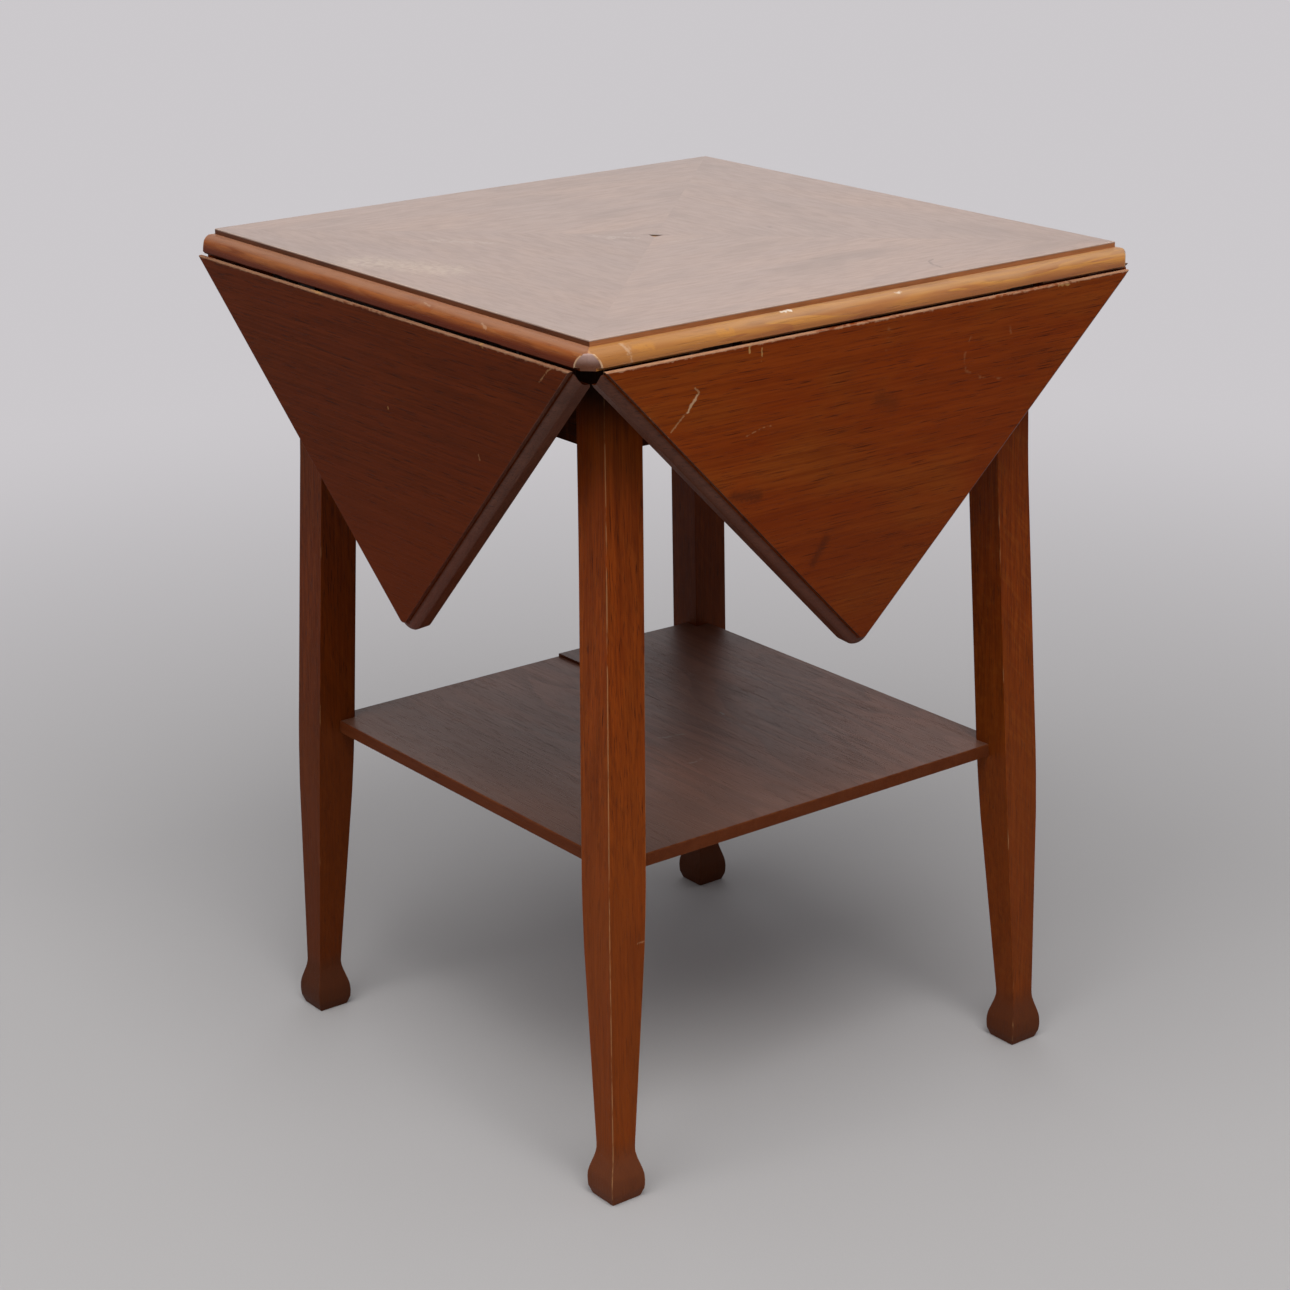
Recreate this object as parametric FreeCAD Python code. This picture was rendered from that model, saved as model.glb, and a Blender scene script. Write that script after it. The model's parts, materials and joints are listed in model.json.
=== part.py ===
import FreeCAD, Part
import math
import os

Vector = FreeCAD.Vector

# Envelope table: a square top that turns on a leg frame, with four triangular leaves hung on rule joints.
# The origin is on the floor under the centre of the top, with +Z up, in millimetres.
# Sides are named as seen over the front corner: +X front right, +Y back right, -X back left, -Y front left.

# Top and leaves
table_height = 700.0
face_half = 258.0          # half side of the flat top face; a hinge axis runs under each of its edges
veneer_thick = 1.0
lipping_width = 32.0       # solid wood inside the edge of the face, which takes the hinge screws
tongue_long = 8.0
tongue_thick = 6.0

# Rule joint between the top and a leaf
fillet = 4.5               # square step above the round
rule_radius = 13.0
axis_rise = 2.0            # hinge axis above the underside
joint_gap = 1.0            # running gap between round and hollow
round_relief = 3.0         # rebate under the round, a shadow line above the hanging leaf
mitre_gap = 0.6            # gap between neighbouring leaves when they are raised
heel_cut = 3.0             # bevel under the hollow, where hanging leaves come close at the corners
hang_turn = 94.5           # degrees from raised to hanging; a leaf's weight brings it in past plumb

# Thumb moulding along the free edges of the leaves and across the corners of the top
edge_step = 4.0
edge_width = 8.5
edge_rim = 9.0             # depth of the rim of the thumb moulding below the face
edge_bulge = 0.72          # how far along its width the thumb stays high
tip_radius = 14.0

# Table hinges
hinge_offset = 150.0       # hinge centre from the middle of its side
hinge_width = 38.0
flap_thick = 2.0
top_flap_long = 28.0
leaf_flap_long = 46.0
knuckle_radius = 2.5
knuckle_count = 3
knuckle_gap = 0.3
pin_radius = 1.45
pin_play = 0.05
hinge_room = 0.3           # room for the knuckle and the moving flap in the wood
screw_head_radius = 3.0
screw_radius = 1.6
screw_long = 12.0
screw_tip_radius = 0.5
screw_inset = 7.0          # screw from the edges of its flap
screw_flats = 6            # screws, hinge barrels and pins are small and many, so each has a few flats
barrel_flats = 8

# Leg frame
frame_gap = 0.3            # between the frame and the turning top
leg_inset = 44.8           # outside of the leg's top from the edge of the top face
leg_side = 34.5
square_drop = 60.0         # straight part of the leg below the apron
knee_out = 12.7            # how far the knee stands out from the top of the leg
knee_height = 232.0
knee_side = 35.6
leg_blend = 55.0           # length of the soft turn on each side of the knee
ankle_out = 13.8
ankle_height = 44.0
ankle_side = 21.9
foot_out = 19.3            # outside of the foot's bulge from the outside of the leg's top
foot_height = 14.5         # height of the bulge
foot_side = 32.7
toe_height = 6.8           # arris below the bulge, from which the foot is cut in to its sole
toe_side = 31.9
sole_side = 27.0
apron_height = 80.0
apron_thick = 18.0
apron_setback = 3.0
tenon_thick = 8.0
tenon_long = 16.0
tenon_shoulder = 8.0
shelf_top = 275.0
shelf_thick = 11.0
shelf_let_in = 15.0        # how far the corners of the shelf are let into the legs
seam_offset = 40.0         # joint between the shelf boards, behind the centre
shelf_tongue_long = 5.0
shelf_tongue_thick = 3.5

# Swivel and frame blocks
rail_width = 90.0
rail_thick = 22.0
rail_stub = 8.0            # depth of the rail's ends in the aprons
plate_side = 80.0
plate_thick = 3.0
plate_screw_inset = 12.0
stud_radius = 8.0
stud_play = 0.05
washer_side = 36.0
washer_thick = 2.0
nut_across = 24.0
nut_thick = 10.0
stud_end = 2.0             # stud below the nut
block_leg = 60.0           # corner block along each apron, from the leg
block_height = 40.0
block_screw_bite = 14.0    # screw in the leg
block_screw_radius = 2.5
block_head_radius = 4.5

# Levels and planes that several pieces share
top_thick = fillet + rule_radius + axis_rise
axis_z = table_height - fillet - rule_radius
underside = table_height - top_thick
veneer_bottom = table_height - veneer_thick
frame_top = underside - frame_gap
core_half = face_half - lipping_width
hollow_radius = rule_radius + joint_gap
outline = 2 * face_half + math.sqrt(2) * edge_width    # |x| + |y| of the open outline
reach = outline + 2 * rule_radius                      # longer than any piece of the top
leg_half = face_half - leg_inset
leg_inner = leg_half - leg_side
apron_outer = leg_half - apron_setback
apron_inner = apron_outer - apron_thick
apron_bottom = frame_top - apron_height
apron_middle = (apron_outer + apron_inner) / 2
square_bottom = apron_bottom - square_drop
shelf_bottom = shelf_top - shelf_thick
rail_bottom = frame_top - rail_thick

sides = ["front_right", "back_right", "back_left", "front_left"]
corners = ["right", "back", "left", "front"]
os.makedirs("parts", exist_ok=True)


def save(name, *solids):
    shape = solids[0] if len(solids) == 1 else Part.makeCompound(list(solids))
    shape.exportStep("parts/" + name + ".step")


def box(low, high):
    size = Vector(*high) - Vector(*low)
    return Part.makeBox(size.x, size.y, size.z, Vector(*low))


def quarter(shape, turns):
    copy = shape.copy()
    copy.rotate(Vector(0, 0, 0), Vector(0, 0, 1), 90 * turns)
    return copy


def line(start, end):
    return Part.LineSegment(start, end).toShape()


def arc(start, middle, end):
    return Part.Arc(start, middle, end).toShape()


def face_of(edges):
    return Part.Face(Part.Wire(edges))


def plan_prism(points, low, high):
    # A prism that stands on a plan outline of (x, y) points
    ring = [Vector(x, y, low) for x, y in points]
    return Part.Face(Part.makePolygon(ring + ring[:1])).extrude(Vector(0, 0, high - low))


def mitre_wedge(low, high):
    # The quarter of the plan that belongs to the +X side, between the diagonals
    return plan_prism([(0, 0), (reach, -reach), (reach, reach)], low, high)


def on_rule(radius, degrees):
    # A point of the +X rule joint's round or hollow, in section
    turn = math.radians(degrees)
    return Vector(face_half + radius * math.cos(turn), 0, axis_z + radius * math.sin(turn))


def polygon(radius, sides):
    # Corners of a regular polygon about a point
    turns = [2 * math.pi * k / sides for k in range(sides)]
    return [(radius * math.cos(turn), radius * math.sin(turn)) for turn in turns]


def screw(head, direction, head_radius, radius, long):
    # A countersunk wood screw whose head lies flush at a point
    stations = [(head_radius, 0), (radius, head_radius - radius), (screw_tip_radius, long)]
    rings = []
    for ring_radius, depth in stations:
        ring = [Vector(x, y, depth) for x, y in polygon(ring_radius, screw_flats)]
        rings.append(ring + ring[:1])
    outlines = [rings[0], rings[-1]]
    for upper, lower in zip(rings, rings[1:]):
        for k in range(screw_flats):
            outlines.append([upper[k], upper[k + 1], lower[k + 1], lower[k], upper[k]])
    shape = Part.Solid(Part.Shell([Part.Face(Part.makePolygon(outline)) for outline in outlines]))
    shape.Placement = FreeCAD.Placement(head, FreeCAD.Rotation(Vector(0, 0, 1), direction))
    return shape


# Moulded edge of the open outline

def edge_section(rim):
    # Waste outside the thumb moulding: edges in the plane of a radius, with the rim at a given radius
    step = rim - edge_width
    face = Vector(step, 0, table_height)
    start = Vector(step, 0, table_height - edge_step)
    middle_drop = edge_step + (edge_rim - edge_step) * (1 - math.sqrt(1 - edge_bulge ** 2))
    middle = Vector(step + edge_width * edge_bulge, 0, table_height - middle_drop)
    end = Vector(rim, 0, table_height - edge_rim)
    above = table_height + edge_step
    below = underside - edge_step
    waste = rim + 2 * tip_radius
    return [line(Vector(step, 0, above), face), line(face, start), arc(start, middle, end),
            line(end, Vector(rim, 0, below)), line(Vector(rim, 0, below), Vector(waste, 0, below)),
            line(Vector(waste, 0, below), Vector(waste, 0, above)),
            line(Vector(waste, 0, above), Vector(step, 0, above))]


def edge_cutter():
    # Straight cutter across the (+X, +Y) side of the open outline
    cutter = face_of(edge_section(outline / math.sqrt(2))).extrude(Vector(0, 2 * reach, 0))
    cutter.translate(Vector(0, -reach, 0))
    cutter.rotate(Vector(0, 0, 0), Vector(0, 0, 1), 45)
    return cutter


# Turning top

def hinge_centres():
    return [-hinge_offset, hinge_offset]


def knuckle_spans(centre, owner):
    # Stretches of the axis that belong to the top's flap (odd knuckles) or the leaf's (even ones)
    step = hinge_width / knuckle_count
    start = centre - hinge_width / 2
    return [(start + step * k, start + step * (k + 1)) for k in range(knuckle_count) if k % 2 == owner]


def axis_bar(radius, low, high):
    # A bar along the +X hinge axis, whose corners lie at a radius
    ring = [Vector(face_half + x, low, axis_z + z) for x, z in polygon(radius, barrel_flats)]
    return Part.Face(Part.makePolygon(ring + ring[:1])).extrude(Vector(0, high - low, 0))


def room_for(radius):
    # Corner radius of a hole in which a bar of this radius can turn
    return radius / math.cos(math.pi / barrel_flats)


def flap(centre, owner, inner, outer, bore):
    # One flap of a +X hinge, laid flat as when the leaf is raised, cut free of the other flap's knuckles
    half = hinge_width / 2
    plate = box((inner, centre - half, axis_z - flap_thick), (outer, centre + half, axis_z))
    room = knuckle_radius + hinge_room
    for low, high in knuckle_spans(centre, owner):
        plate = plate.fuse(axis_bar(knuckle_radius, low, high))
    for low, high in knuckle_spans(centre, 1 - owner):
        free = box((face_half - room, low - knuckle_gap / 2, axis_z - room),
                   (face_half + room, high + knuckle_gap / 2, axis_z + room))
        plate = plate.cut(free)
    return plate.cut(axis_bar(bore, centre - half, centre + half)).removeSplitter()


def flap_screws(spots):
    # Screws of one flap, driven up from the underside
    heads = [Vector(x, y, axis_z - flap_thick) for x, y in spots]
    return [screw(head, Vector(0, 0, 1), screw_head_radius, screw_radius, screw_long) for head in heads]


def cut_all(shape, tools):
    for tool in tools:
        shape = shape.cut(tool)
    return shape


def edge_blank():
    # Section of the +X lipping: tongue, underside, round, fillet and the seat of the veneer
    middle = (underside + veneer_bottom) / 2
    seat = [Vector(face_half, 0, veneer_bottom), Vector(core_half, 0, veneer_bottom),
            Vector(core_half, 0, middle + tongue_thick / 2),
            Vector(core_half - tongue_long, 0, middle + tongue_thick / 2),
            Vector(core_half - tongue_long, 0, middle - tongue_thick / 2),
            Vector(core_half, 0, middle - tongue_thick / 2), Vector(core_half, 0, underside),
            Vector(face_half + rule_radius - round_relief, 0, underside),
            Vector(face_half + rule_radius - round_relief, 0, axis_z), on_rule(rule_radius, 0)]
    edges = [line(a, b) for a, b in zip(seat, seat[1:])]
    edges.append(arc(on_rule(rule_radius, 0), on_rule(rule_radius, 45), on_rule(rule_radius, 90)))
    edges.append(line(on_rule(rule_radius, 90), seat[0]))
    blank = face_of(edges).extrude(Vector(0, 2 * reach, 0))
    blank.translate(Vector(0, -reach, 0))
    return blank.common(mitre_wedge(underside, table_height))


def hinge_seat(centre):
    # Room for one hinge in the underside of the +X lipping
    half = hinge_width / 2
    room = knuckle_radius + hinge_room
    low = underside - room
    plate = box((face_half - top_flap_long, centre - half, low), (face_half, centre + half, axis_z))
    barrel = axis_bar(room_for(room), centre - half - hinge_room, centre + half + hinge_room)
    below = box((face_half - room, centre - half - hinge_room, low),
                (face_half + room, centre + half + hinge_room, axis_z))
    sweep = box((face_half, centre - half - hinge_room, low),
                (face_half + hollow_radius, centre + half + hinge_room, axis_z + hinge_room))
    return [plate, barrel, below, sweep]


def make_top():
    cutter = edge_cutter()
    edge = cut_all(edge_blank(), [cutter, quarter(cutter, -1)])
    flaps = []
    pins = []
    screws = []
    inner = face_half - top_flap_long
    half = hinge_width / 2
    spread = half - screw_inset
    for centre in hinge_centres():
        edge = cut_all(edge, hinge_seat(centre))
        hinge_screws = flap_screws([(inner + screw_inset, centre + y) for y in (-spread, spread)])
        edge = cut_all(edge, hinge_screws)
        flaps.append(cut_all(flap(centre, 1, inner, face_half, pin_radius), hinge_screws))
        pins.append(axis_bar(pin_radius, centre - half, centre + half))
        screws += hinge_screws
    quadrant = [(0, 0), (face_half, -face_half), (face_half, face_half)]
    veneer = plan_prism(quadrant, veneer_bottom, table_height)
    for turn, side in enumerate(sides):
        save("edge_" + side, quarter(edge, turn))
        save("veneer_" + side, quarter(veneer, turn))
    save("hinge_top_flaps", *[quarter(item, turn) for turn in range(4) for item in flaps])
    save("hinge_pins", *[quarter(item, turn) for turn in range(4) for item in pins])
    save("hinge_top_screws", *[quarter(item, turn) for turn in range(4) for item in screws])


def swivel_screws():
    spot = plate_side / 2 - plate_screw_inset
    return [screw(Vector(x, y, underside), Vector(0, 0, 1), screw_head_radius, screw_radius, screw_long)
            for x in (-spot, spot) for y in (-spot, spot)]


def make_core():
    middle = (underside + veneer_bottom) / 2
    core = box((-core_half, -core_half, underside), (core_half, core_half, veneer_bottom))
    groove_low = middle - tongue_thick / 2
    groove_high = middle + tongue_thick / 2
    bed = core_half - tongue_long
    groove = box((-core_half, -core_half, groove_low), (core_half, core_half, groove_high))
    groove = groove.cut(box((-bed, -bed, groove_low), (bed, bed, groove_high)))
    half = plate_side / 2
    plate = box((-half, -half, underside), (half, half, underside + plate_thick))
    screws = swivel_screws()
    save("top_core", cut_all(core, [groove, plate] + screws))
    nut_top = rail_bottom - frame_gap - washer_thick
    stud_bottom = nut_top - nut_thick - stud_end
    stud = Part.makeCylinder(stud_radius, underside + plate_thick - stud_bottom, Vector(0, 0, stud_bottom))
    save("swivel_plate", cut_all(plate.fuse(stud), screws).removeSplitter())
    save("swivel_plate_screws", *screws)
    half = washer_side / 2
    washer = box((-half, -half, nut_top), (half, half, nut_top + washer_thick))
    bore = Part.makeCylinder(stud_radius, washer_thick + nut_thick, Vector(0, 0, nut_top - nut_thick))
    save("swivel_washer", washer.cut(bore))
    hexagon = polygon(nut_across / math.sqrt(3), 6)
    save("swivel_nut", plan_prism(hexagon, nut_top - nut_thick, nut_top).cut(bore))


# Leaves

def hollow_prism():
    # Section of the +X leaf, raised: lip, hollow and the flat panel out to its tip
    lip_turn = math.degrees(math.acos(joint_gap / hollow_radius))
    lip = on_rule(hollow_radius, lip_turn)
    corners_out = [on_rule(hollow_radius, 0), Vector(face_half + hollow_radius + heel_cut, 0, underside),
                   Vector(reach, 0, underside), Vector(reach, 0, table_height),
                   Vector(lip.x, 0, table_height), lip]
    edges = [line(a, b) for a, b in zip(corners_out, corners_out[1:])]
    edges.append(arc(lip, on_rule(hollow_radius, 45), on_rule(hollow_radius, 0)))
    prism = face_of(edges).extrude(Vector(0, 2 * reach, 0))
    prism.translate(Vector(0, -reach, 0))
    return prism


def leaf_panel():
    # The raised +X leaf: mitred at the joint, moulded along its free edges and rounded at its tip
    centre = outline - math.sqrt(2) * tip_radius
    tangent = tip_radius / math.sqrt(2)
    slack = mitre_gap / math.sqrt(2)
    widest = (outline + slack) / 2
    plan = [(face_half, slack - face_half), (widest, slack - widest), (centre + tangent, -tangent),
            (centre, 0), (centre + tangent, tangent), (widest, widest - slack),
            (face_half, face_half - slack)]
    panel = plan_prism(plan, underside - fillet, table_height + fillet).common(hollow_prism())
    cutter = edge_cutter()
    panel = cut_all(panel, [cutter, quarter(cutter, -1)])
    disc = Part.makeCylinder(tip_radius, top_thick, Vector(0, 0, underside), Vector(0, 0, 1), 90)
    waste = face_of(edge_section(tip_radius)).revolve(Vector(0, 0, 0), Vector(0, 0, 1), 90)
    tip = disc.cut(waste)
    tip.rotate(Vector(0, 0, 0), Vector(0, 0, 1), -45)
    tip.translate(Vector(centre, 0, 0))
    return panel.fuse(tip).removeSplitter()


def hang(shape):
    copy = shape.copy()
    copy.rotate(Vector(face_half, 0, axis_z), Vector(0, 1, 0), hang_turn)
    return copy


def make_leaves():
    panel = leaf_panel()
    flaps = []
    screws = []
    outer = face_half + leaf_flap_long
    half = hinge_width / 2
    spread = half - screw_inset
    near = face_half + hollow_radius + screw_inset
    bore = room_for(pin_radius + pin_play)
    for centre in hinge_centres():
        seat = box((face_half, centre - half, underside), (outer, centre + half, axis_z))
        spots = [(near, centre - spread), (near, centre + spread), (outer - screw_inset, centre)]
        leaf_screws = flap_screws(spots)
        panel = cut_all(panel, [seat] + leaf_screws)
        flaps.append(cut_all(flap(centre, 0, face_half, outer, bore), leaf_screws))
        screws += leaf_screws
    for turn, side in enumerate(sides):
        save("leaf_" + side, quarter(hang(panel), turn))
        save("leaf_flaps_" + side, *[quarter(hang(item), turn) for item in flaps])
        save("leaf_screws_" + side, *[quarter(hang(item), turn) for item in screws])


# Leg frame

def blended(points, blend):
    # A path through points, with each corner on the way rounded by an arc that starts a length before it
    edges = []
    start = points[0]
    for before, corner, after in zip(points, points[1:], points[2:]):
        back = (before - corner).normalize()
        ahead = (after - corner).normalize()
        bisector = (back + ahead).normalize()
        half = back.getAngle(ahead) / 2
        middle = corner + bisector * (blend * (1 - math.sin(half)) / math.cos(half))
        edges.append(line(start, corner + back * blend))
        start = corner + ahead * blend
        edges.append(arc(corner + back * blend, middle, start))
    return edges + [line(start, points[-1])]


def foot_curve(points, slopes):
    # A smooth stretch of the foot between two points, with its slopes there
    spline = Part.BSplineCurve()
    spline.interpolate(Points=points, InitialTangent=slopes[0], FinalTangent=slopes[1])
    return spline.toShape()


def leg_profile():
    # Side view of a leg: straight at the apron, out to the knee, in to the ankle, then the swollen foot
    toe_in = (foot_side - toe_side) / 2
    sole_in = (foot_side - sole_side) / 2
    stations = [(0, leg_side, frame_top), (0, leg_side, square_bottom), (knee_out, knee_side, knee_height),
                (ankle_out, ankle_side, ankle_height)]
    foot = [(foot_out, foot_side, foot_height), (foot_out - toe_in, toe_side, toe_height),
            (foot_out - sole_in, sole_side, 0)]
    down = Vector(0, 0, -1)
    edges = []
    soles = []
    for share, inward in ((0, -1), (1, 1)):
        path = [Vector(leg_half + out - share * side, 0, height) for out, side, height in stations]
        bulge, toe, sole = [Vector(leg_half + out - share * side, 0, height) for out, side, height in foot]
        tuck = Vector(inward * 2 * toe_in, 0, toe_height - foot_height)
        edges += blended(path, leg_blend)
        edges.append(foot_curve([path[-1], bulge], [path[-1] - path[-2], down]))
        edges.append(foot_curve([bulge, toe], [down, tuck]))
        edges.append(line(toe, sole))
        soles.append(sole)
    edges.append(line(soles[0], soles[1]))
    edges.append(line(Vector(leg_half, 0, frame_top), Vector(leg_inner, 0, frame_top)))
    return Part.Face(Part.Wire(Part.__sortEdges__(edges)))


def tenon(span_end):
    # Tenon at one end of the +X apron, along Y, mitred where it would meet its neighbour's
    half = tenon_thick / 2
    low, high = sorted((math.copysign(leg_inner, span_end), math.copysign(leg_inner + tenon_long, span_end)))
    bar = box((apron_middle - half, low, apron_bottom + tenon_shoulder),
              (apron_middle + half, high, frame_top - tenon_shoulder))
    return bar.common(mitre_wedge(apron_bottom, frame_top))


def shelf_blank():
    # The whole shelf, whose corners reach past the inner faces of the legs
    share = (square_bottom - (shelf_top + shelf_bottom) / 2) / (square_bottom - knee_height)
    leg_face = leg_inner + share * (knee_out - knee_side + leg_side)
    shelf_half = leg_face + shelf_let_in
    return box((-shelf_half, -shelf_half, shelf_bottom), (shelf_half, shelf_half, shelf_top))


def block_plan():
    # Outline of the right-hand corner block: against both aprons and round the leg's inner corner
    end = leg_inner - block_leg
    return [(apron_inner, end), (apron_inner, leg_inner), (leg_inner, leg_inner), (leg_inner, apron_inner),
            (end, apron_inner)]


def block_screw():
    # Screw through the middle of the right-hand corner block into the leg
    middle = (leg_inner - block_leg + apron_inner) / 2
    head = Vector(middle, middle, apron_bottom + apron_height / 2)
    long = math.sqrt(2) * (leg_inner - middle) + block_screw_bite
    return screw(head, Vector(1, 1, 0), block_head_radius, block_screw_radius, long)


def make_legs():
    profile = leg_profile()
    across = profile.copy()
    across.rotate(Vector(0, 0, 0), Vector(0, 0, 1), 90)
    depth = 2 * (leg_half + foot_out)
    leg = profile.extrude(Vector(0, depth, 0)).common(across.extrude(Vector(depth, 0, 0)))
    leg = cut_all(leg, [tenon(1), quarter(tenon(-1), 1), shelf_blank(), block_screw()])
    low = apron_bottom + (apron_height - block_height) / 2
    block = plan_prism(block_plan(), low, low + block_height).cut(block_screw())
    for turn, corner in enumerate(corners):
        save("leg_" + corner, quarter(leg, turn))
        save("corner_block_" + corner, quarter(block, turn))
    save("corner_block_screws", *[quarter(block_screw(), turn) for turn in range(4)])


def make_aprons():
    apron = box((apron_inner, -leg_inner, apron_bottom), (apron_outer, leg_inner, frame_top))
    apron = apron.fuse([tenon(-1), tenon(1)]).removeSplitter()
    rail_end = apron_inner + rail_stub
    rail = box((-rail_width / 2, -rail_end, rail_bottom), (rail_width / 2, rail_end, frame_top))
    for turn, side in enumerate(sides):
        save("apron_" + side, quarter(apron, turn).cut(rail))
    bore = Part.makeCylinder(stud_radius + stud_play, rail_thick, Vector(0, 0, rail_bottom))
    save("pivot_rail", rail.cut(bore))


def make_shelf():
    blank = shelf_blank()
    middle = (shelf_top + shelf_bottom) / 2
    half = shelf_tongue_thick / 2
    behind = box((-reach, seam_offset, shelf_bottom), (reach, reach, shelf_top))
    tongue = box((-reach, seam_offset, middle - half),
                 (reach, seam_offset + shelf_tongue_long, middle + half))
    save("shelf_front_board", blank.cut(behind).fuse(blank.common(tongue)).removeSplitter())
    save("shelf_rear_board", blank.common(behind).cut(tongue))


make_top()
make_core()
make_leaves()
make_legs()
make_aprons()
make_shelf()
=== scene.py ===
import bpy
import json
import math
from mathutils import Matrix, Vector, noise


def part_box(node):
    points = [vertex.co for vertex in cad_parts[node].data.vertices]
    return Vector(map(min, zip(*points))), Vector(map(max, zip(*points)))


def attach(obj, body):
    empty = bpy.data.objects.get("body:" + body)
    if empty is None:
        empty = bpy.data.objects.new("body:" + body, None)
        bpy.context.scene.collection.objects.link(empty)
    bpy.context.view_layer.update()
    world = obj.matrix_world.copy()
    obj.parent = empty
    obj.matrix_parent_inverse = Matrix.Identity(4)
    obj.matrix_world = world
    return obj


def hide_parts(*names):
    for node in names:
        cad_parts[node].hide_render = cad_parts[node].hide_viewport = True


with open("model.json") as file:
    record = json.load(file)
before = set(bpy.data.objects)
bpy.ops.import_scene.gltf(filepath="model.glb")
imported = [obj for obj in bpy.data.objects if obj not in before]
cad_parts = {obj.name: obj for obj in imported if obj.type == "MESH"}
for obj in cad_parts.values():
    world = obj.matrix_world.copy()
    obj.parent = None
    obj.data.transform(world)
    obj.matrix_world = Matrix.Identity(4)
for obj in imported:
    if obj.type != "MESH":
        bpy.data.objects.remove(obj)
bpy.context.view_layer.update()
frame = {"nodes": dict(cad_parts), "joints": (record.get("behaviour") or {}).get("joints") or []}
nodes = frame["nodes"]
sides = ["front_right", "back_right", "back_left", "front_left"]  # quarter turns from +X
corners = ["right", "back", "left", "front"]  # quarter turns from (+X, +Y)
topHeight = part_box("veneer_front_right")[1].z
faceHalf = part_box("veneer_front_right")[1].x
hinge = next(joint for joint in frame["joints"] if joint["name"] == "front_right_leaf_hinge")
hingeAxis = Vector(hinge["pos_m"])
lean = math.radians(hinge["range_deg"][1] - 90)  # how far a hanging leaf swings in past plumb
hair = 0.0001  # places nearer than this, in metres, count as one
noiseMiddle = 0.5
print("frame loaded with", len(nodes), "nodes")


class Wire:
    # a shader socket that takes part in sums

    def __init__(self, finish, socket):
        self.finish = finish
        self.socket = socket

    def math(self, operation, *values):
        return self.finish.node("ShaderNodeMath", {"operation": operation}, dict(enumerate(values)))

    def __add__(self, other):
        return self.math("ADD", self, other)

    def __radd__(self, other):
        return self.math("ADD", other, self)

    def __sub__(self, other):
        return self.math("SUBTRACT", self, other)

    def __rsub__(self, other):
        return self.math("SUBTRACT", other, self)

    def __mul__(self, other):
        return self.math("MULTIPLY", self, other)

    def __rmul__(self, other):
        return self.math("MULTIPLY", other, self)

    def __truediv__(self, other):
        return self.math("DIVIDE", self, other)

    def __rtruediv__(self, other):
        return self.math("DIVIDE", other, self)

    def __pow__(self, other):
        return self.math("POWER", self, other)

    def __rpow__(self, other):
        return self.math("POWER", other, self)

    def fraction(self):
        return self.math("FRACT", self)

    def least(self, other):
        return self.math("MINIMUM", self, other)

    def most(self, other):
        return self.math("MAXIMUM", self, other)

    def step(self, low, high):  # 0 below low and 1 above high, or the other way round
        settings = {"interpolation_type": "SMOOTHSTEP"}
        sockets = {"Value": self, "From Min": min(low, high), "From Max": max(low, high)}
        rising = self.finish.node("ShaderNodeMapRange", settings, sockets)
        return rising if low < high else 1 - rising


class Finish:
    # one material, or the world, whose nodes all come from node()

    def __init__(self, owner, shader="Principled BSDF"):
        owner.use_nodes = True
        self.material = owner
        self.tree = owner.node_tree
        self.shader = self.tree.nodes[shader]

    def node(self, kind, settings, sockets, output=0):
        made = self.tree.nodes.new(kind)
        for name, value in settings.items():
            setattr(made, name, value)
        for name, value in sockets.items():
            if isinstance(value, Wire):
                self.tree.links.new(value.socket, made.inputs[name])
            else:
                made.inputs[name].default_value = value
        return Wire(self, made.outputs[output])

    def feed(self, **sockets):  # links or plain values for the shader itself
        for name, value in sockets.items():
            socket = self.shader.inputs[name.replace("_", " ")]
            if isinstance(value, Wire):
                self.tree.links.new(value.socket, socket)
            else:
                socket.default_value = value

    def place(self, turn=(0, 0, 0), shift=(0, 0, 0)):
        start = self.node("ShaderNodeTexCoord", {}, {}, "Object")
        sockets = {"Vector": start, "Location": shift, "Rotation": [math.radians(angle) for angle in turn]}
        return self.node("ShaderNodeMapping", {"vector_type": "POINT"}, sockets)

    def parts(self, vector):
        return [self.node("ShaderNodeSeparateXYZ", {}, {"Vector": vector}, axis) for axis in "XYZ"]

    def noise(self, vector, scale, detail, rough, bend=0.0):
        place = self.node("ShaderNodeVectorMath", {"operation": "MULTIPLY"}, {0: vector, 1: scale})
        sockets = {"Vector": place, "Scale": 1.0, "Detail": detail, "Roughness": rough, "Distortion": bend}
        return self.node("ShaderNodeTexNoise", {}, sockets, "Fac")

    def mix(self, share, first, second):
        settings = {"data_type": "RGBA", "blend_type": "MIX"}
        colours = [value if isinstance(value, Wire) else (*value, 1) for value in (first, second)]
        sockets = {0: share, 6: colours[0], 7: colours[1]}  # where a Mix node has its colours
        return self.node("ShaderNodeMix", settings, sockets, 2)

    def bump(self, height, distance):
        return self.node("ShaderNodeBump", {}, {"Height": height, "Distance": distance})

    def seen(self):  # 1 for what the camera sees itself or in a reflection
        views = [self.node("ShaderNodeLightPath", {}, {}, "Is " + kind + " Ray")
                 for kind in ("Camera", "Glossy", "Transmission")]
        return views[0].most(views[1]).most(views[2])

    def lineDistance(self, u, v, start, end):
        run = [end[0] - start[0], end[1] - start[1]]
        offU = u - start[0]
        offV = v - start[1]
        share = ((offU * run[0] + offV * run[1]) / (run[0] ** 2 + run[1] ** 2)).most(0).least(1)
        offU = offU - share * run[0]
        offV = offV - share * run[1]
        return (offU * offU + offV * offV) ** 0.5


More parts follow.
